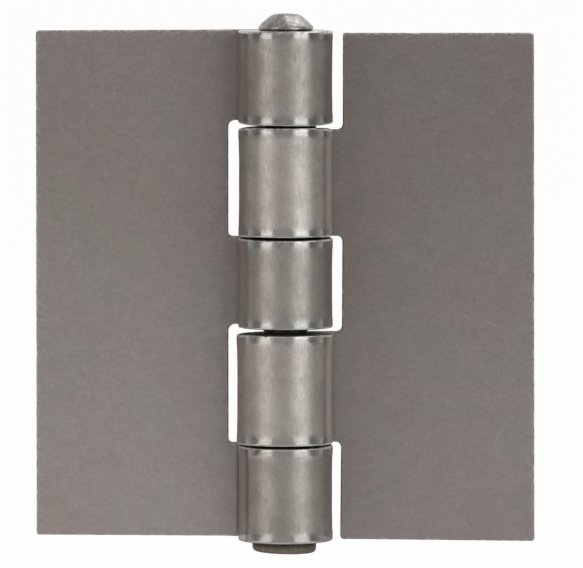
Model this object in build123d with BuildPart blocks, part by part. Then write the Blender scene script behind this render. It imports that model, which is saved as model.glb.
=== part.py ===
"""Weld-on butt hinge: two plain steel leaves rolled into knuckles that turn on one riveted pin.

Frame, in millimetres: the pin stands on the Z axis with its domed head up, and the origin is halfway
along the barrel. The leaves lie open on either side of the pin, along X. The barrel stands proud of
the leaves on the front, -Y, and the leaves' weld faces lie flush with the back of the barrel, +Y.
"""

import os
from math import asin, degrees, hypot

from build123d import *

# Driving dimensions of the leaves
leaf_height = 76.2
leaf_reach = 37.5
sheet_thickness = 3.7
corner_radius = 0.7
plate_offset = 0.4

# Driving dimensions of the barrel
pin_diameter = 6.6
pin_clearance = 0.1
slot_clearance = 1.5
slot_radius = 0.9
slot_taper = 0.5
end_knuckle_length = 14.3
middle_knuckle_length = 13.7
axial_clearance = 0.18
seat_gap = 0.1
seam_gap = 0.25

# The rolled sheet draws in at the outer edge of a knuckle's end, most of all at the front
draw_depth = 0.15
draw_offset = 1.2

# Driving dimensions of the pin's two heads
dome_diameter = 8.1
dome_rim = 0.5
dome_height = 2.5
dome_flat_diameter = 3.0
button_diameter = 9.5
button_thickness = 2.1
button_edge_radius = 0.7

# Sizes that follow
bore_radius = pin_diameter / 2 + pin_clearance
barrel_radius = bore_radius + sheet_thickness
plate_inner_edge = barrel_radius + slot_clearance
half_height = leaf_height / 2
sheet_middle = barrel_radius - sheet_thickness / 2
seam_angle = degrees(asin((bore_radius - seam_gap) / barrel_radius))
curl_wrap = 270 + seam_angle
inner_knuckle_length = (
    leaf_height - 2 * end_knuckle_length - middle_knuckle_length - 4 * axial_clearance
) / 2
leaf_drop = axial_clearance - seat_gap

# Each knuckle as (bottom, top). The two-knuckle leaf has sunk until it nearly rests on its neighbours.
end_knuckle_inset = half_height - end_knuckle_length
three_knuckles = [
    (-half_height, -end_knuckle_inset),
    (-middle_knuckle_length / 2, middle_knuckle_length / 2),
    (end_knuckle_inset, half_height),
]
inner_knuckle_start = middle_knuckle_length / 2 + axial_clearance
two_knuckles = [
    (-inner_knuckle_start - inner_knuckle_length - leaf_drop, -inner_knuckle_start - leaf_drop),
    (inner_knuckle_start - leaf_drop, inner_knuckle_start + inner_knuckle_length - leaf_drop),
]
two_knuckle_plate_middle = -leaf_drop - plate_offset


def knuckle_section(side):
    """Section of one knuckle: a tongue from the plate that runs tangent into its curl round the pin.

    side is -1 where the plate lies towards -X, and 1 where it lies towards +X.
    """
    with BuildSketch() as section:
        with BuildLine():
            outer = CenterArc((0, 0), barrel_radius, 90, side * curl_wrap)
            inner = CenterArc((0, 0), bore_radius, 90, side * curl_wrap)
            Line(outer @ 1, inner @ 1)
            Polyline(
                outer @ 0,
                (side * plate_inner_edge, barrel_radius),
                (side * plate_inner_edge, bore_radius),
                inner @ 0,
            )
        make_face()
    return section.sketch


def slot_corners(part, heights):
    """Edges through the sheet where the plate's inner edge meets a knuckle's tongue at these heights."""
    return [
        edge
        for edge in part.edges().filter_by(Axis.Y)
        if abs(abs(edge.center().X) - plate_inner_edge) < seat_gap
        and any(abs(edge.center().Z - height) < seat_gap / 2 for height in heights)
    ]


def plate_corners(part, reaches, heights):
    """Edges through the sheet at the plate's own corners."""
    return [
        edge
        for edge in part.edges().filter_by(Axis.Y)
        if any(abs(abs(edge.center().X) - reach) < seat_gap for reach in reaches)
        and any(abs(edge.center().Z - height) < seat_gap / 2 for height in heights)
    ]


# What the rolling draws in at the top end of a knuckle: a flat cone about an axis set back from the pin,
# so that it fades out at the back, where the curl leaves the tongue
draw_start = barrel_radius - draw_offset
draw_reach = barrel_radius + 2 * draw_offset
draw_drop = draw_depth * (draw_reach - draw_start) / (2 * draw_offset)
with BuildPart() as drawn_end:
    with BuildSketch(Plane.XZ.offset(-draw_offset)):
        Polygon((draw_start, 0), (draw_reach, 0), (draw_reach, -draw_drop), align=None)
    revolve(axis=Axis((0, draw_offset, 0), (0, 0, 1)))
    with Locations((0, bore_radius - seam_gap / 2, 0)):
        Box(
            2 * draw_reach,
            2 * draw_reach,
            4 * draw_drop,
            align=(Align.MAX, Align.MIN, Align.CENTER),
            mode=Mode.SUBTRACT,
        )
drawn_top = {-1: drawn_end.part, 1: mirror(drawn_end.part, about=Plane.YZ)}
drawn_bottom = {side: mirror(cut, about=Plane.XY) for side, cut in drawn_top.items()}

# Leaf with three knuckles, which carries the riveted pin. The tops of its slots rise towards the plate.
plate_width = leaf_reach - plate_inner_edge
plate_middle = (leaf_reach + plate_inner_edge) / 2
with BuildPart() as three_knuckle_leaf:
    with Locations((-plate_middle, sheet_middle, 0)):
        Box(plate_width, sheet_thickness, leaf_height)
    for bottom, top in three_knuckles:
        with BuildSketch(Plane.XY.offset(bottom)):
            add(knuckle_section(-1))
        extrude(amount=top - bottom)
    for bottom, top in three_knuckles[1:]:
        with BuildSketch(Plane.XZ.offset(-barrel_radius)):
            Polygon(
                (0, bottom),
                (-plate_inner_edge, bottom + slot_taper),
                (-plate_inner_edge, bottom),
                align=None,
            )
        extrude(amount=sheet_thickness, mode=Mode.SUBTRACT)
    slot_heights = [top for bottom, top in three_knuckles[:-1]]
    slot_heights += [bottom + slot_taper for bottom, top in three_knuckles[1:]]
    fillet(slot_corners(three_knuckle_leaf.part, slot_heights), radius=slot_radius)
    fillet(
        plate_corners(three_knuckle_leaf.part, [leaf_reach], [-half_height, half_height]),
        radius=corner_radius,
    )
    for bottom, top in three_knuckles:
        add(drawn_top[-1].moved(Location((0, 0, top))), mode=Mode.SUBTRACT)
        add(drawn_bottom[-1].moved(Location((0, 0, bottom))), mode=Mode.SUBTRACT)

# Leaf with two knuckles, which swings on the pin
two_knuckle_plate_ends = [
    two_knuckle_plate_middle - half_height,
    two_knuckle_plate_middle + half_height,
]
with BuildPart() as two_knuckle_leaf:
    with Locations((plate_middle, sheet_middle, two_knuckle_plate_middle)):
        Box(plate_width, sheet_thickness, leaf_height)
    for bottom, top in two_knuckles:
        with BuildSketch(Plane.XY.offset(bottom)):
            add(knuckle_section(1))
        extrude(amount=top - bottom)
    fillet(
        slot_corners(two_knuckle_leaf.part, [z for pair in two_knuckles for z in pair]),
        radius=slot_radius,
    )
    fillet(
        plate_corners(two_knuckle_leaf.part, [leaf_reach, plate_inner_edge], two_knuckle_plate_ends),
        radius=corner_radius,
    )
    for bottom, top in two_knuckles:
        add(drawn_top[1].moved(Location((0, 0, top))), mode=Mode.SUBTRACT)
        add(drawn_bottom[1].moved(Location((0, 0, bottom))), mode=Mode.SUBTRACT)

# Riveted pin: a hammered dome above, a flat button below, each seated on an end knuckle
pin_radius = pin_diameter / 2
dome_radius = dome_diameter / 2
dome_flat_radius = dome_flat_diameter / 2
dome_rise = dome_height - dome_rim
dome_run = dome_radius - dome_flat_radius
dome_bulge = 0.12 * hypot(dome_rise, dome_run)
dome_side_middle = (
    (dome_radius + dome_flat_radius) / 2 + dome_bulge * dome_rise / hypot(dome_rise, dome_run),
    half_height + dome_rim + dome_rise / 2 + dome_bulge * dome_run / hypot(dome_rise, dome_run),
)
with BuildPart() as hinge_pin:
    with BuildSketch(Plane.XZ):
        with BuildLine():
            dome_side = ThreePointArc(
                (dome_radius, half_height + dome_rim),
                dome_side_middle,
                (dome_flat_radius, half_height + dome_height),
            )
            Polyline(
                dome_side @ 1,
                (0, half_height + dome_height),
                (0, -half_height - button_thickness),
                (button_diameter / 2, -half_height - button_thickness),
                (button_diameter / 2, -half_height),
                (pin_radius, -half_height),
                (pin_radius, half_height),
                (dome_radius, half_height),
                dome_side @ 0,
            )
        make_face()
    revolve(axis=Axis.Z)
    button_edge = hinge_pin.edges().filter_by(GeomType.CIRCLE).group_by(Axis.Z)[0]
    fillet(button_edge, radius=button_edge_radius)

# One file for each piece
os.makedirs("parts", exist_ok=True)
pieces = {
    "three_knuckle_leaf": three_knuckle_leaf.part,
    "two_knuckle_leaf": two_knuckle_leaf.part,
    "hinge_pin": hinge_pin.part,
}
for name, piece in pieces.items():
    piece.label = name
    export_step(piece, f"parts/{name}.step")
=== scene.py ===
"""A bare-steel weld-on hinge, open flat: two leaves rolled into knuckles on one riveted pin.

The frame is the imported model's: the pin stands on Z with its domed head up, the two-knuckle leaf lies
towards +X, and the barrel stands proud of the leaves towards -Y. Shapes are drawn in millimetres.
"""

from collections import namedtuple
from math import asin, atan2, cos, degrees, hypot, pi, radians, sin
from operator import mul

import bmesh
import bpy
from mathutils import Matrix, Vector, noise


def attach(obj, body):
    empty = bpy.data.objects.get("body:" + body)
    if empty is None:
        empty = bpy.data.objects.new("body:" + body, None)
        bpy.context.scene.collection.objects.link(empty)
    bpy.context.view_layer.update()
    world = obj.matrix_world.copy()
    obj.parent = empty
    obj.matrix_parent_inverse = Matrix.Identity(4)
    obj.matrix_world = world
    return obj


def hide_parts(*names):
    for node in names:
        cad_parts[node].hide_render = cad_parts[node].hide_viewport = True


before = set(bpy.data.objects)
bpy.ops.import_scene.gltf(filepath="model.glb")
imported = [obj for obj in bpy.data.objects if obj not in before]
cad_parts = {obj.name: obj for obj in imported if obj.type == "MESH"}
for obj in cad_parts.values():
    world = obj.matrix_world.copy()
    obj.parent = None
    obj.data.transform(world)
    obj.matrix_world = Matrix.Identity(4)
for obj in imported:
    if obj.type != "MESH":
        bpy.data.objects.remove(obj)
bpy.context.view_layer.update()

# Sizes of the hinge, in millimetres
MM = 0.001
BORE = 3.4
SHEET = 3.7
BARREL = BORE + SHEET
INNER_EDGE = 8.6
REACH = 37.5
SEAM_GAP = 0.25
WRAP = 270 + degrees(asin((BORE - SEAM_GAP) / BARREL))
HALF = 38.1
NEAR = 0.01
SHARP_ANGLE = 40

# How finely the curls and the pin are spun
CURL_STEPS = 66
PIN_STEPS = 96

# Rounded edges of the sheet: the die roll at the back, the break in front and at each curl's lip
DIE_ROLL = 0.26
FRONT_BREAK = 0.2
LIP_BREAK = 0.18

# Where a curl is divided, in from each end and out from the middle, and through its thickness
END_CUTS = [0.45, 0.85, 1.2, 1.4, 1.6, 1.9, 2.4, 3.3, 4.4]
MIDDLE_CUTS = [-1.6, 0, 1.6]
THICKNESS_CUT = 4.6

# A curl's ends draw in outside a circle that is set back this far from the pin's axis and is smaller than
# the barrel by as much
DRAW_OFFSET = 1.2

# The pin's wire, with its heads as (radius, distance from the barrel's end)
WIRE = 3.3
DOME = [
    (0, 2.49), (0.7, 2.49), (1.35, 2.47), (1.78, 2.41), (2.14, 2.27), (2.49, 2.06), (2.83, 1.8), (3.16, 1.53),
    (3.49, 1.25), (3.77, 0.99), (3.99, 0.74), (4.12, 0.53), (4.16, 0.34), (4.13, 0.16), (3.97, 0.03),
    (WIRE, 0.03),
]
WIRE_LEVELS = [30, 15, 0, -15, -30]
BUTTON_RADIUS = 4.75
BUTTON = [
    (WIRE, 0.27), (4.64, 0.27), (4.72, 0.33), (BUTTON_RADIUS, 0.45), (BUTTON_RADIUS, 0.8), (4.74, 1.3),
    (4.69, 1.62), (4.55, 1.87), (4.3, 2.03), (3.95, 2.08), (2.5, 2.09), (1.2, 2.1), (0, 2.1),
]

# A knuckle's heights, bottom then top, on the barrel and where its slots meet the plate; how far each end
# rides up in front, at the back and on the right; how its bottom end leans across the barrel; and how far out
# the punch left a step in its tongue's top edge, which rises over the step's width.
STEP_WIDTH = 0.25
Knuckle = namedtuple("Knuckle", "barrel slots bottom_lift top_lift lean step")
# Each plate's heights, bottom then top, are at its outer edge.
THREE_PLATE = (0.18 - HALF, HALF - 0.16)
THREE_KNUCKLES = [
    Knuckle((24.12, HALF), (24.6, HALF), (-0.22, 0, 0.12), (0, 0, 0), -0.011, None),
    Knuckle((-6.4, 7.1), (-6.05, 6.98), (0, 0, 0), (0, 0, 0), 0, None),
    Knuckle((-38.35, -23.95), (-HALF, -24.2), (0, 0, 0), (0, 0, 0), 0, None),
]
TWO_PLATE = (-38.54, 37.57)
TWO_KNUCKLES = [
    Knuckle((7.24, 23.4), (7.14, 23.05), (0.06, 0, 0), (0.41, 0.2, -0.09), 0, 4.5),
    Knuckle((-23.84, -7.36), (-23.88, -7.4), (0.04, 0, 0), (0.28, 0, 0), 0, None),
]


# Shapes

def smooth(value, low, high):
    """0 below low, 1 above high, and an even rise between them."""
    t = min(max((value - low) / (high - low), 0.0), 1.0)
    return t * t * (3 - 2 * t)


def finish_mesh(bm, name):
    """Makes an object of the bmesh, drawn in millimetres, with its place in its mesh."""
    bmesh.ops.scale(bm, vec=(MM, MM, MM), verts=bm.verts)
    bmesh.ops.recalc_face_normals(bm, faces=bm.faces)
    for face in bm.faces:
        face.smooth = True
    for edge in bm.edges:
        edge.smooth = len(edge.link_faces) == 2 and degrees(edge.calc_face_angle(0)) < SHARP_ANGLE
    mesh = bpy.data.meshes.new(name)
    bm.to_mesh(mesh)
    bm.free()
    piece = bpy.data.objects.new(name, mesh)
    bpy.context.scene.collection.objects.link(piece)
    return piece


def sheet_outline(bm, side, plate, knuckles):
    """Draws the leaf's flat sheet as one face on its back, with each tongue cut off where its curl starts."""
    low, high = plate
    spots = [(REACH, low), (REACH, high)]
    for knuckle in knuckles:
        (bottom, top), (slot_bottom, slot_top) = knuckle.barrel, knuckle.slots
        if slot_top < high:
            if len(spots) == 2:
                spots.append((INNER_EDGE, high))
            spots.append((INNER_EDGE, slot_top))
        if knuckle.step:
            spots += [(knuckle.step + STEP_WIDTH, slot_top), (knuckle.step, top + knuckle.top_lift[1])]
        spots += [(0, top), (0, bottom)]
        spots.append((INNER_EDGE, slot_bottom))
    if spots[-1][1] > low:
        spots.append((INNER_EDGE, low))
    verts = [bm.verts.new((side * u, BARREL, z)) for u, z in spots]
    bm.faces.new(verts)


def corners(bm, test):
    """The outline's points whose distance out and height pass the test."""
    return [v for v in bm.verts if test(abs(v.co.x), v.co.z)]


def cut_end(bm, knuckle):
    """The faces of a tongue's cut end, where its curl starts."""
    bottom, top = knuckle.barrel
    return [f for f in bm.faces
            if all(abs(v.co.x) < 0.1 * NEAR and bottom - NEAR < v.co.z < top + NEAR for v in f.verts)]


def with_parts(faces):
    """The faces with their edges and corners."""
    return list({part for f in faces for part in [f, *f.edges, *f.verts]})


def rolled_leaf(name, side, plate, knuckles, slot_radii, corner_radii, skew, swell):
    """One leaf: a sheared sheet whose tongues are rolled round the pin.

    side is -1 or 1, as for X. slot_radii pairs the heights of the slots' inner corners with their radius, and
    corner_radii are the plate's, low then high. The shears stray by skew at its low inner, low outer and high
    outer corners, and the lowest curl is out of round by swell.
    """
    low, high = plate
    bm = bmesh.new()
    sheet_outline(bm, side, plate, knuckles)

    for v in bm.verts:
        u, z = abs(v.co.x), v.co.z
        down = (high - z) / (high - low)
        if abs(u - INNER_EDGE) < NEAR:
            v.co.x -= side * skew[0] * down ** 2
        if abs(z - low) < NEAR:
            v.co.z -= skew[1] * smooth(u, 0, REACH)
        if u > REACH - NEAR:
            v.co.x -= side * skew[2] * (1 - down)

    # Rounded corners of the plate and of the slots between the tongues
    reach = 1 if knuckles[-1].slots[0] > low else INNER_EDGE + 1
    for end, radius in zip(plate, corner_radii):
        plate_corners = corners(bm, lambda u, z: u > reach and abs(z - end) < 0.5)
        bmesh.ops.bevel(bm, geom=plate_corners, offset=radius, affect="VERTICES", segments=4, profile=0.5,
                        material=-1)
    for heights, radius in slot_radii:
        slot = corners(bm, lambda u, z: abs(u - INNER_EDGE) < 0.5 and any(abs(z - h) < NEAR for h in heights))
        bmesh.ops.bevel(bm, geom=slot, offset=radius, affect="VERTICES", segments=6, profile=0.5, material=-1)

    # The shears leave the outline a little uneven, never outside its nominal line
    for edge in [e for e in bm.edges if e.calc_length() > 5]:
        bmesh.ops.subdivide_edges(bm, edges=[edge], cuts=int(edge.calc_length() / 1.3))
    for v in bm.verts:
        u, z = abs(v.co.x), v.co.z
        bite = 0.05 * (0.5 + 0.5 * noise.noise((v.co.x * 0.9, 3.0 * side, z * 0.9)))
        bite += 0.10 * smooth(noise.noise((v.co.x * 1.7, 9.0 * side, z * 1.7)), 0.45, 0.75)
        if u > REACH - skew[2] - NEAR:
            v.co.x -= side * bite
        elif u > INNER_EDGE + 1 and z > high - NEAR:
            v.co.z -= bite
        elif u > INNER_EDGE + 1 and z < low + NEAR:
            v.co.z += bite

    # Thickness, then the die roll along the back rim and a fine break along the front one
    made = bmesh.ops.extrude_face_region(bm, geom=bm.faces[:])["geom"]
    bmesh.ops.translate(bm, vec=(0, -SHEET, 0), verts=[g for g in made if isinstance(g, bmesh.types.BMVert)])
    for depth, width in ((BARREL, DIE_ROLL), (BORE, FRONT_BREAK)):
        rim = [e for e in bm.edges if all(abs(v.co.y - depth) < 0.001 for v in e.verts)
               and not all(abs(v.co.x) < 0.001 for v in e.verts)]
        bmesh.ops.bevel(bm, geom=rim, offset=width, affect="EDGES", segments=3, profile=0.5, material=-1)

    # Each tongue's cut end is divided across its width and spun round the pin
    for knuckle in knuckles:
        bottom, top = knuckle.barrel
        levels = [bottom + s for s in END_CUTS] + [top - s for s in END_CUTS]
        levels += [(bottom + top) / 2 + s for s in MIDDLE_CUTS]
        for level in levels:
            bmesh.ops.bisect_plane(bm, geom=with_parts(cut_end(bm, knuckle)), dist=0.0001,
                                   plane_co=(0, 0, level), plane_no=(0, 0, 1))
        bmesh.ops.bisect_plane(bm, geom=with_parts(cut_end(bm, knuckle)), dist=0.0001,
                               plane_co=(0, THICKNESS_CUT, 0), plane_no=(0, 1, 0))
        spun = bmesh.ops.spin(bm, geom=with_parts(cut_end(bm, knuckle)), cent=(0, 0, 0), axis=(0, 0, 1),
                              angle=side * radians(WRAP), steps=CURL_STEPS, use_merge=False,
                              use_duplicate=False)
        last = [g for g in spun["geom_last"] if isinstance(g, bmesh.types.BMFace)]
        lip = [e for e in {e for f in last for e in f.edges}
               if sum(f in last for f in e.link_faces) == 1]
        bmesh.ops.bevel(bm, geom=lip, offset=LIP_BREAK, affect="EDGES", segments=2, profile=0.5, material=-1)

    # Rolling draws each curl in at its waist and at the outer edge of its ends
    rolled = bm.verts.layers.float.new("rolled")
    end_gap = bm.verts.layers.float.new("end_gap")
    top_gap = bm.verts.layers.float.new("top_gap")
    depth = bm.verts.layers.float.new("depth")
    turned_by = bm.verts.layers.float.new("turned_by")
    for v in bm.verts:
        x, y, z = v.co
        v[end_gap] = v[top_gap] = 9.0
        v[depth] = BARREL - y
        if side * x > 0.001 and y > BORE - NEAR:
            continue
        turn = degrees(side * (atan2(y, x) - pi / 2)) % 360
        if turn > 359:
            turn = 0
        knuckle = next(k for k in knuckles if k.barrel[0] - 0.1 < z < k.barrel[1] + 0.1)
        bottom, top = knuckle.barrel
        gap = min(z - bottom, top - z)
        v[rolled] = smooth(turn, 2, 28)
        v[end_gap], v[top_gap], v[turned_by] = gap, top - z, turn
        reach = hypot(x, y)
        v[depth] = BARREL - reach
        outer = (reach - BORE) / SHEET
        fade = smooth(turn, 8, 70)
        inset = gap + 0.25 * noise.noise((x * 0.3, y * 0.3, top if top - z < z - bottom else bottom))
        waist = (0.07 * smooth(inset, 1.1, 1.8) + 0.05 * smooth(gap, 1.5, 5)) * fade * outer
        lump = 0.02 * noise.noise((x * 0.5, y * 0.5, z * 0.25)) * fade * outer
        if z < knuckles[-1].barrel[1]:
            lump += swell * smooth(turn, 30, 90) * (1 - smooth(turn, 110, 170)) * outer
        scale = (reach - waist - 0.016 + lump) / reach if outer > 0.5 else 1
        beyond = max(0, hypot(x, y - DRAW_OFFSET) - (BARREL - DRAW_OFFSET))
        draw = 0.08 * beyond / (2 * DRAW_OFFSET) * smooth(-gap, -1.5, 0) * fade
        draw += 0.03 * (0.5 + 0.5 * noise.noise((x * 0.8, y * 0.8, round(z)))) * smooth(-gap, -1.2, 0) * fade
        shares = smooth(-y / reach, 0, 0.85), smooth(y / reach, 0, 0.85), smooth(x, 4.2, 4.9)
        low_rise = sum(map(mul, knuckle.bottom_lift, shares)) + knuckle.lean * x
        high_rise = sum(map(mul, knuckle.top_lift, shares))
        rise = low_rise + (high_rise - low_rise) * (z - bottom) / (top - bottom)
        v.co = (x * scale, y * scale, z + rise + (draw if z - bottom < top - z else -draw))

    # Faces cut by the shears, and the broken edges beside them
    cut = bm.faces.layers.float.new("cut")
    level = bm.faces.layers.float.new("level")
    broken = bm.faces.layers.float.new("broken")
    bm.normal_update()
    for face in bm.faces:
        x, y, z = face.calc_center_median()
        flat = side * x > 0.001 and y > BORE - NEAR
        out = Vector((0, 1, 0)) if flat else Vector((x, y, 0)).normalized()
        facing = abs(face.normal.dot(out))
        face[cut] = float(facing < 0.2)
        face[level] = float(facing < 0.2 and abs(face.normal.z) > 0.7)
        face[broken] = float(0.2 <= facing < 0.98)
    return finish_mesh(bm, name)


def turned(bm, profile, steps):
    """Spins a profile of (radius, height) points about the pin's axis into a closed solid."""
    verts = [bm.verts.new((r, 0, z)) for r, z in profile]
    edges = [bm.edges.new(pair) for pair in zip(verts, verts[1:])]
    bmesh.ops.spin(bm, geom=verts + edges, cent=(0, 0, 0), axis=(0, 0, 1), angle=2 * pi, steps=steps,
                   use_merge=True, use_duplicate=False)
    bmesh.ops.remove_doubles(bm, verts=bm.verts, dist=0.0005)


def riveted_pin(name):
    """The pin, with the hammered dome above and the flat button below."""
    bm = bmesh.new()
    profile = [(r, HALF + up) for r, up in DOME] + [(WIRE, z) for z in WIRE_LEVELS]
    profile += [(r, -HALF - down) for r, down in BUTTON]
    turned(bm, profile, PIN_STEPS)
    for v in bm.verts:
        if v.co.z > HALF + 0.1:
            # Hammer blows leave broad flats round the dome and tip its crown
            dent = 0.09 * (noise.noise((v.co.x * 0.55, v.co.y * 0.55, 4.2)) - 0.25)
            dent += 0.04 * noise.noise((v.co.x * 1.3, v.co.y * 1.3, 8.1))
            rise = smooth(v.co.z, HALF + 0.3, HALF + 1.2)
            v.co.z += min(dent, 0.008) * rise - 0.02 * max(0, v.co.x) * rise
            v.co.x = v.co.x * 0.985 + 0.06
        elif v.co.z < -HALF - 0.1 and hypot(v.co.x, v.co.y) > 3.4:
            swell = 1 - 0.006 * (0.5 + 0.5 * noise.noise((v.co.x * 0.5, v.co.y * 0.5, 1.7)))
            v.co.x *= swell
            v.co.y *= swell
    # The button is upset a little to one side, and not quite square
    for v in bm.verts:
        if v.co.z < -HALF - 0.2 and hypot(v.co.x, v.co.y) > 3.35 or v.co.z < -HALF - 1.5:
            v.co.z += 0.026 * (BUTTON_RADIUS - v.co.x) * smooth(-v.co.z, HALF + 0.8, HALF + 2.0)
            v.co.x = v.co.x * 1.01 - 0.2
    return finish_mesh(bm, name)


# Finishes

class Reading:
    """What a socket gives, so that sums on it are written as sums."""

    def __init__(self, finish, socket):
        self.finish = finish
        self.socket = socket

    def __add__(self, other):
        return self.finish.sum("ADD", self, other)

    def __sub__(self, other):
        return self.finish.sum("SUBTRACT", self, other)

    def __rsub__(self, other):
        return self.finish.sum("SUBTRACT", other, self)

    def __mul__(self, other):
        return self.finish.sum("MULTIPLY", self, other)

    __radd__ = __add__


class Finish:
    """A finish being made up of nodes."""

    def __init__(self, owner):
        owner.use_nodes = True
        self.owner = owner
        self.tree = owner.node_tree
        self.tree.nodes.clear()

    def node(self, kind, settings=None, inputs=None):
        made = self.tree.nodes.new(kind)
        for key, value in (settings or {}).items():
            setattr(made, key, value)
        for key, value in (inputs or {}).items():
            if isinstance(value, Reading):
                self.tree.links.new(value.socket, made.inputs[key])
            else:
                made.inputs[key].default_value = value
        return made

    def read(self, kind, settings=None, inputs=None, out=0):
        return Reading(self, self.node(kind, settings, inputs).outputs[out])

    def sum(self, operation, a, b):
        return self.read("ShaderNodeMath", {"operation": operation}, {0: a, 1: b})

    def rise(self, value, low, high):
        return self.read("ShaderNodeMapRange", {"interpolation_type": "SMOOTHSTEP"},
                         {"Value": value, "From Min": low, "From Max": high})

    def mix(self, share, a, b, blend="MIX"):
        return self.read("ShaderNodeMix", {"data_type": "RGBA", "blend_type": blend},
                         {0: share, 6: a, 7: b}, 2)

    def grain(self, place, scale, detail=3.0, roughness=0.5):
        return self.read("ShaderNodeTexNoise", None,
                         {"Vector": place, "Scale": scale, "Detail": detail, "Roughness": roughness})

    def place(self, stretch=(1, 1, 1), turn=0):
        """Object coordinates in millimetres, turned about Y, then pressed together along the axes."""
        spot = self.read("ShaderNodeTexCoord", out="Object")
        scale = tuple(MM / s for s in stretch)
        return self.read("ShaderNodeMapping", {"vector_type": "TEXTURE"},
                         {"Vector": spot, "Rotation": (0, turn, 0), "Scale": scale})

    def mark(self, name):
        return self.read("ShaderNodeAttribute", {"attribute_name": name}, out="Fac")

    def surface(self, inputs):
        shader = self.read("ShaderNodeBsdfPrincipled", None, inputs)
        self.node("ShaderNodeOutputMaterial", None, {"Surface": shader})
        return self.owner


def shade(colour, tone):
    """The colour, brightened by the tone and with no transparency."""
    return tuple(tone * c for c in colour) + (1,)


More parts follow.
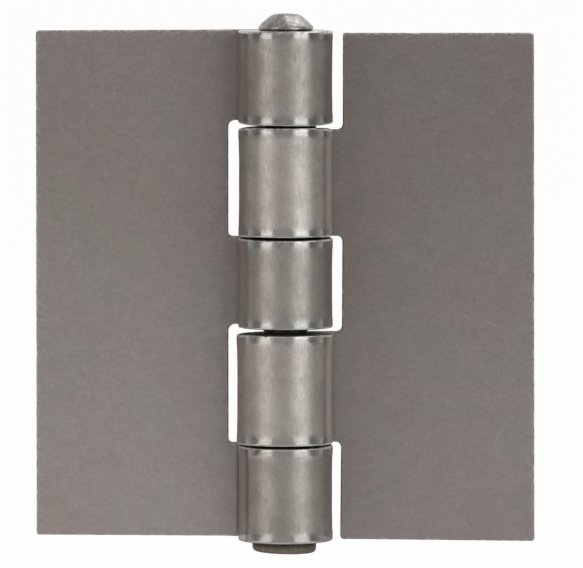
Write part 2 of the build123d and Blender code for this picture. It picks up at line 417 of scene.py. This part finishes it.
def leaf_steel(name, plate_top, sheet_tone, barrel_tone, painted_shade, lip_highlight_colour):
    """Pickled sheet: matt grey with cloudy tints, burnished brighter where the dies rolled it.

    The tones brighten the flat sheet and the curls, and differ between the leaves as painted light and shade.
    The next argument sets how dark the painted shadow is in the seam, in the crease beside each curl's lip
    and on the sheet beside the barrel, and the last is the lip's colour with a painted highlight in it.
    """
    f = Finish(bpy.data.materials.new(name))
    shadow = shade((0.17, 0.149, 0.139), sheet_tone)

    # Noises, by their waves in a millimetre
    place = f.place()
    clouds = f.rise(f.grain(place, 0.085, 5.0, 0.68), 0.32, 0.68)
    drift = f.rise(f.grain(place, 0.03, 1.0, 0.5), 0.3, 0.7)
    blotch = f.grain(place, 0.32, 4.0, 0.6)
    speck = f.grain(place, 3.2, 2.0, 0.6)
    rolling = f.grain(f.place((0.35, 0.35, 2.2)), 1.0, 3.0, 0.55)
    rubbed = f.grain(f.place((3.2, 3.2, 0.7)), 1.0, 3.0, 0.6)
    grit = f.grain(place, 1.5, 2.0, 0.55)
    nick = f.grain(place, 1.2, 3.0, 0.6)

    # Where on the leaf a point is
    rolled = f.mark("rolled")
    depth = f.mark("depth")
    ragged = (f.grain(f.place((1, 1, 0.3)), 1.6, 3.0, 0.6) - 0.5) * 1.2
    end = f.mark("end_gap")
    band = (1 - f.rise(end + ragged, 0.7, 2.1)) * rolled
    skin = 1 - f.rise(depth, 0.1, 0.35)
    burr = (1 - f.rise(f.mark("top_gap") + ragged * 0.35, 0.22, 0.42)) * skin * rolled
    parts = f.node("ShaderNodeSeparateXYZ", None, {"Vector": place})
    beside = f.sum("ABSOLUTE", Reading(f, parts.outputs["X"]), 0)
    height = Reading(f, parts.outputs["Z"])
    upward = f.rise(height, -50, 50)
    # Rust and painted shade darken the curls' ends hidden between the knuckles and the tongues' tops under
    # the slots
    covered = 1 - f.rise(f.sum("ABSOLUTE", height, 0), 36.5, 37.5)
    flank = f.rise(beside, 4.6, 5.8) * rolled
    rim = (1 - f.rise(end, 0.04, 0.12 + flank * 0.3)) * rolled
    tucked = f.mark("level") * (1 - f.rise(beside, 8.4, 9.2)) * (1 - rolled) * 0.6
    inside = (rim + tucked) * f.sum("MAXIMUM", f.rise(depth, 0.35, 1.0), flank) * covered
    turn = f.mark("turned_by")
    # Where the painted shade in the crease beside each curl's lip falls
    crease = 1 - f.rise(f.sum("ABSOLUTE", turn - 235.0 + ragged * 2, 0), 1.0, 5.5)
    # Where the painted highlight along each curl's lip falls
    lip = f.rise(turn, 237, 246) - f.rise(turn, 255, 264)
    # How dark the painted shadow in the seam and the crease is, strongest towards the bottom
    crevice_shade = (1 - f.rise(height, -28, -8) * 0.7) * painted_shade

    # The flat sheet: tinted clouds, painted shade darker upwards and beside the barrel, worn along its edges,
    # and a painted shadow in its seam with the barrel
    sheet = f.mix(clouds, shade((0.382, 0.311, 0.298), sheet_tone), shade((0.357, 0.329, 0.300), sheet_tone))
    sheet = f.mix(drift * 0.5, sheet, shade((0.402, 0.362, 0.349), sheet_tone))
    # Painted shade: the sheet is darkened upwards, and beside the barrel in its upper part
    sheet = f.mix(upward * 0.46, sheet, shadow)
    shaded = (1 - f.rise(beside, 9, 24)) * f.rise(height, -48, 2) * (0.32 * painted_shade)
    sheet = f.mix(shaded, sheet, shadow)
    mottle = (0.5 - blotch) * 0.22 + (grit - 0.5) * 0.28 + (speck - 0.5) * 0.28 + (rolling - 0.5) * 0.12
    sheet = f.mix(1.0, sheet, 1 + mottle * (0.9 + upward * 0.25), "MULTIPLY")
    from_edge = f.sum("MINIMUM", REACH - beside, plate_top - height)
    wear = 1 - f.rise(from_edge + (nick - 0.5) * 3, 0.1, 0.8)
    sheet = f.mix(wear * f.rise(speck, 0.4, 0.6) * 0.35, sheet, shade((0.55, 0.52, 0.49), sheet_tone))
    sheet = f.mix(wear * (1 - f.rise(grit, 0.4, 0.52)) * 0.3, sheet, shade((0.20, 0.182, 0.168), sheet_tone))
    for slant, wide in ((0.5, 2.6), (-1.1, 3.4)):
        scratch = f.grain(f.place((0.05, 0.3, wide), slant), 1.0, 1.0, 0.5)
        sheet = f.mix(f.rise(scratch, 0.72, 0.78) * 0.4, sheet, shade((0.54, 0.50, 0.47), sheet_tone))
    # Painted shadow: a near-black line where the barrel meets the sheet
    seam = (1 - f.rise(beside, 7.0, 7.7)) * f.rise(depth, 3.3, 3.6)
    sheet = f.mix(seam * crevice_shade, sheet, (0.06, 0.052, 0.045, 1))

    # The barrel: rubbed by the dies, with a bright drawn band painted darker towards the top, a burr at each
    # curl's end, painted shade in the crease beside the lip and a painted highlight on the lip
    barrel = f.mix(clouds, shade((0.432, 0.383, 0.352), barrel_tone),
                   shade((0.412, 0.390, 0.352), barrel_tone))
    barrel = f.mix(f.rise(blotch, 0.35, 0.7), barrel, shade((0.345, 0.310, 0.283), barrel_tone))
    barrel = f.mix(f.rise(speck, 0.45, 0.75) * 0.4, barrel, shade((0.54, 0.505, 0.465), barrel_tone))
    barrel = f.mix(f.rise(rubbed, 0.5, 0.75) * 0.45, barrel, shade((0.27, 0.245, 0.225), barrel_tone))
    # Painted shade: the drawn bands darken towards the top
    drawn = f.mix(f.rise(height, 2, 26), (0.50, 0.485, 0.47, 1), (0.40, 0.388, 0.376, 1))
    barrel = f.mix(band * 0.75, barrel, drawn)
    barrel = f.mix(band * f.rise(nick, 0.55, 0.68) * 0.5, barrel, (0.25, 0.232, 0.215, 1))
    raised = f.mix(f.rise(height, 24, 34), (0.76, 0.66, 0.56, 1), (0.72, 0.69, 0.66, 1))
    barrel = f.mix(burr * f.rise(f.grain(place, 1.1, 2.0), 0.44, 0.56), barrel, raised)
    # Painted shade in the crease beside the lip
    barrel = f.mix(crease * crevice_shade * 0.9, barrel, (0.13, 0.115, 0.105, 1))
    # A painted highlight along the lip
    barrel = f.mix(lip, barrel, lip_highlight_colour)
    colour = f.mix(rolled, sheet, barrel)

    # The shears burnish the back third of the sheet's edge, and the rest breaks away rough
    torn = f.rise(depth + (nick - 0.5) * 1.6, 1.0, 1.5)
    scored = f.grain(f.place((2.6, 0.2, 2.6)), 1.0, 3.0, 0.6)
    bright = f.mix(f.rise(scored, 0.4, 0.7), (0.40, 0.375, 0.35, 1), (0.52, 0.495, 0.465, 1))
    rough = f.mix(f.rise(nick, 0.35, 0.65), (0.35, 0.32, 0.295, 1), (0.25, 0.215, 0.185, 1))
    sheared = f.mix(torn, bright, rough)
    # Rust and painted shade on the faces hidden between the knuckles and under the slots: dark, rough and not
    # metallic
    sheared = f.mix(inside * 0.85, sheared, (0.10, 0.07, 0.05, 1))
    broken = f.mark("broken")
    colour = f.mix(f.mark("cut"), colour, sheared)
    colour = f.mix(broken * f.rise(nick, 0.46, 0.62) * 0.75, colour, (0.62, 0.575, 0.53, 1))
    colour = f.mix(broken * (1 - f.rise(nick, 0.34, 0.42)) * 0.5, colour, (0.24, 0.175, 0.125, 1))

    worn = 0.52 + (blotch - 0.5) * 0.16 + (speck - 0.5) * 0.1
    burnished = 0.42 + (blotch - 0.5) * 0.14 + (rubbed - 0.5) * 0.24 - band * 0.26
    roughness = worn + (burnished - worn) * rolled + inside * 0.5
    relief = speck * 0.5 + blotch * 0.8 + rolling * 0.25 + rubbed * rolled * 0.6
    bump = f.read("ShaderNodeBump", None, {"Strength": 0.15, "Distance": 0.0001, "Height": relief})
    return f.surface({"Base Color": colour, "Roughness": roughness, "Metallic": 1 - inside, "Normal": bump})


def pin_steel():
    """Rivet wire: hammered bright on the dome, dark and streaked on the button, with painted shade on the
    wire between the knuckles and a painted shadow on the button's top.
    """
    f = Finish(bpy.data.materials.new("riveted_pin_steel"))
    place = f.place()
    height = f.read("ShaderNodeSeparateXYZ", None, {"Vector": place}, "Z")
    blotch = f.grain(place, 1.1, 4.0, 0.6)
    streak = f.grain(f.place((1.6, 1.6, 0.5)), 1.0, 4.0, 0.65)
    speck = f.grain(place, 4.0, 2.0, 0.6)
    dome = f.rise(height, 37.0, 38.2)
    button = 1 - f.rise(height, -38.2, -37.0)

    # Painted shade: the wire, seen only between the knuckles, is painted near black
    wire = f.mix(f.rise(blotch, 0.35, 0.7), (0.06, 0.05, 0.042, 1), (0.035, 0.029, 0.024, 1))
    bright = f.mix(f.rise(blotch, 0.35, 0.7), (0.52, 0.497, 0.48, 1), (0.36, 0.34, 0.328, 1))
    bright = f.mix(f.rise(speck, 0.5, 0.6) * 0.7, bright, (0.17, 0.156, 0.146, 1))
    dark = f.mix(f.rise(streak, 0.35, 0.7), (0.22, 0.178, 0.133, 1), (0.33, 0.275, 0.212, 1))
    dark = f.mix(f.rise(speck, 0.5, 0.75) * 0.5, dark, (0.10, 0.078, 0.058, 1))
    # Painted shadow: the top of the button, under the lowest knuckle
    dark = f.mix(f.rise(height, -39.6, -38.6) * 0.85, dark, (0.05, 0.04, 0.032, 1))
    colour = f.mix(button, f.mix(dome, wire, bright), dark)
    roughness = 0.4 - dome * 0.08 + button * 0.16 + (blotch - 0.5) * 0.3
    relief = blotch + streak * button * 0.8 + speck * 0.4
    bump = f.read("ShaderNodeBump", None, {"Strength": 0.3, "Distance": 0.00012, "Height": relief})
    return f.surface({"Base Color": colour, "Roughness": roughness, "Metallic": 1.0, "Normal": bump})


# The hinge

top_knuckle, middle_knuckle, low_knuckle = THREE_KNUCKLES
left_slots = [((top_knuckle.slots[0], middle_knuckle.slots[0]), 1.1),
              ((middle_knuckle.slots[1], low_knuckle.slots[1]), 0.7)]
right_slots = [([height for knuckle in TWO_KNUCKLES for height in knuckle.slots], 0.85)]
left_leaf = rolled_leaf("leaf_with_three_knuckles", -1, THREE_PLATE, THREE_KNUCKLES, left_slots,
                        corner_radii=(0.36, 0.5), skew=(0, 0, 0.07), swell=0)
right_leaf = rolled_leaf("leaf_with_two_knuckles", 1, TWO_PLATE, TWO_KNUCKLES, right_slots,
                         corner_radii=(0.5, 0.45), skew=(0.36, 0.36, 0.27), swell=0.26)
pin = riveted_pin("riveted_pin")

# The two leaves are one steel: their different tones are painted light and shade, lighter on the left sheet
# and the right leaf's curls, darker on the right sheet and the left leaf's curls
left_steel = leaf_steel("left_sheet_steel", THREE_PLATE[1], sheet_tone=1.165, barrel_tone=1.05, painted_shade=0.6,
                        lip_highlight_colour=(0.49, 0.455, 0.43, 1))
right_steel = leaf_steel("right_sheet_steel", TWO_PLATE[1], sheet_tone=0.94, barrel_tone=1.28, painted_shade=0.25,
                         lip_highlight_colour=(0.78, 0.735, 0.70, 1))
wire_steel = pin_steel()
for piece, steel, body, node, slot in (
    (left_leaf, left_steel, "three_knuckle_leaf", "three_knuckle_leaf", "leaf_steel"),
    (right_leaf, right_steel, "two_knuckle_leaf", "two_knuckle_leaf", "leaf_steel"),
    (pin, wire_steel, "three_knuckle_leaf", "hinge_pin", "pin_steel"),
):
    piece.data.materials.append(steel)
    even = piece.modifiers.new("even_shading", "WEIGHTED_NORMAL")
    even.keep_sharp = True
    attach(piece, body)
    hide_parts(node)

# Floor and light, in metres

FLOOR = -0.070
FLOOR_SIZE = 20.0
BOX_DISTANCE = 0.9


def room_light(f, way):
    """How bright the room is each way: white behind the hinge, dark to its sides, dim in front."""
    parts = f.node("ShaderNodeSeparateXYZ", None, {"Vector": way})
    across, forward = Reading(f, parts.outputs["X"]), Reading(f, parts.outputs["Y"])
    side = f.rise(forward, -0.85, -0.4)
    behind = f.rise(forward, -0.3, 0.55)
    room = f.mix(side, (0.44, 0.44, 0.44, 1), (0.22, 0.22, 0.22, 1))
    return f.mix(behind, room, (0.85, 0.85, 0.85, 1)), across, behind


def pale_floor():
    """White to the eye; in reflections the room, with painted glows to its left and right, a painted pool of
    light in front of the hinge and painted shade just behind it; the hinge's own shadow is left on it.

    From below it is clear.
    """
    f = Finish(bpy.data.materials.new("pale_floor"))
    path = f.node("ShaderNodeLightPath")
    eye, gloss, through = (Reading(f, path.outputs[name])
                           for name in ("Is Camera Ray", "Is Glossy Ray", "Is Transmission Ray"))
    spot = f.read("ShaderNodeTexCoord", out="Object")
    away = f.read("ShaderNodeVectorMath", {"operation": "LENGTH"}, {0: spot}, "Value")
    way = f.read("ShaderNodeVectorMath", {"operation": "NORMALIZE"}, {0: spot})
    near = 1 - f.rise(away, 0.04, 0.22)
    lit, across, behind = room_light(f, way)
    # Painted light, seen only in reflections: glows to the left and right where the soft boxes would light
    # the floor
    left = f.rise(across, -0.92, -0.83) - f.rise(across, -0.60, -0.46)
    right = f.rise(across, 0.27, 0.43) - f.rise(across, 0.78, 0.88)
    ahead = 1 - f.rise(behind, 0.2, 0.4)
    lit = f.mix(left * ahead, lit, (1.15, 1.135, 1.09, 1))
    cool = f.mix(f.rise(away, 1.2, 2.6), (1.21, 1.26, 1.26, 1), (0.88, 0.92, 0.92, 1))
    lit = f.mix(right * ahead, lit, cool)
    # A painted pool of light on the floor in front of the hinge, seen only in reflections
    lit = f.mix(near * (1 - behind), lit, (0.7, 0.7, 0.7, 1))
    # Painted shade on the floor just behind the hinge, seen only in reflections
    dim = f.mix(f.rise(across, -0.8, -0.4), (0.62, 0.6, 0.57, 1), (0.35, 0.35, 0.35, 1))
    lit = f.mix((1 - f.rise(away, 0.15, 0.7)) * behind, lit, dim)
    shown = f.mix(gloss, (1, 1, 1, 1), lit)
    matt = f.read("ShaderNodeBsdfDiffuse", None, {"Color": (0.9, 0.9, 0.9, 1)})
    glow = f.read("ShaderNodeEmission", None, {"Color": shown, "Strength": 1.0})
    share = f.sum("MAXIMUM", f.sum("MAXIMUM", eye, gloss), through) * 0.96
    surface = f.read("ShaderNodeMixShader", None, {0: share, 1: matt, 2: glow})
    below = f.read("ShaderNodeNewGeometry", out="Backfacing")
    clear = f.read("ShaderNodeBsdfTransparent")
    surface = f.read("ShaderNodeMixShader", None, {0: below, 1: surface, 2: clear})
    f.node("ShaderNodeOutputMaterial", None, {"Surface": surface})
    return f.owner


def studio_world():
    """White where the eye sees past the hinge; a softer room for light and reflections."""
    f = Finish(bpy.data.worlds.new("studio"))
    path = f.node("ShaderNodeLightPath")
    way = f.read("ShaderNodeTexCoord", out="Generated")
    above = f.rise(f.read("ShaderNodeSeparateXYZ", None, {"Vector": way}, "Z"), 0.3, 0.9)
    room = f.mix(above, room_light(f, way)[0], (0.5, 0.5, 0.5, 1))
    colour = f.mix(Reading(f, path.outputs["Is Camera Ray"]), room, (1, 1, 1, 1))
    back = f.read("ShaderNodeBackground", None, {"Color": colour, "Strength": 1.0})
    f.node("ShaderNodeOutputWorld", None, {"Surface": back})
    return f.owner


def soft_box(name, azimuth, elevation, width, height, radiance, colour=(1, 1, 1)):
    """A soft box that faces the hinge. Azimuth 0 is the camera's side, and positive is to its right."""
    lamp = bpy.data.lights.new(name, "AREA")
    lamp.shape = "RECTANGLE"
    lamp.size, lamp.size_y = width, height
    lamp.energy = radiance * pi * width * height
    lamp.color = colour
    box = bpy.data.objects.new(name, lamp)
    a, e = radians(azimuth), radians(elevation)
    way = Vector((sin(a) * cos(e), -cos(a) * cos(e), sin(e)))
    box.location = way * BOX_DISTANCE
    box.rotation_euler = way.to_track_quat("Z", "Y").to_euler()
    bpy.context.scene.collection.objects.link(box)


bm = bmesh.new()
bmesh.ops.create_grid(bm, x_segments=1, y_segments=1, size=FLOOR_SIZE)
bmesh.ops.translate(bm, vec=(0, 0, FLOOR), verts=bm.verts)
floor_mesh = bpy.data.meshes.new("floor")
bm.to_mesh(floor_mesh)
bm.free()
floor = bpy.data.objects.new("floor", floor_mesh)
bpy.context.scene.collection.objects.link(floor)
floor_mesh.materials.append(pale_floor())

scene = bpy.context.scene
scene.world = studio_world()
soft_box("left_box", -47.5, 17, 0.42, 0.65, 0.82, (1, 0.99, 0.955))
soft_box("right_box", 39.5, 17, 0.57, 0.65, 1.18, (0.93, 1, 1))
soft_box("top_box", 125, 62, 0.8, 0.6, 1.3)

# Camera
DISTANCE, ELEVATION, PIXELS_PER_MM = 0.9, 3.8, 6.66
SENSOR_WIDTH = 36
IMAGE_WIDTH = 583
target = Vector((0.89, BORE, -0.08)) * MM
toward = Vector((0, -cos(radians(ELEVATION)), sin(radians(ELEVATION))))
lens = bpy.data.cameras.new("camera")
lens.sensor_width = SENSOR_WIDTH
lens.lens = SENSOR_WIDTH * DISTANCE / (IMAGE_WIDTH / PIXELS_PER_MM * MM)
lens.clip_end = 50
camera = bpy.data.objects.new("camera", lens)
camera.location = target + toward * DISTANCE
camera.rotation_euler = toward.to_track_quat("Z", "Y").to_euler()
scene.collection.objects.link(camera)
scene.camera = camera
scene.view_settings.view_transform = "Standard"

bpy.context.view_layer.update()
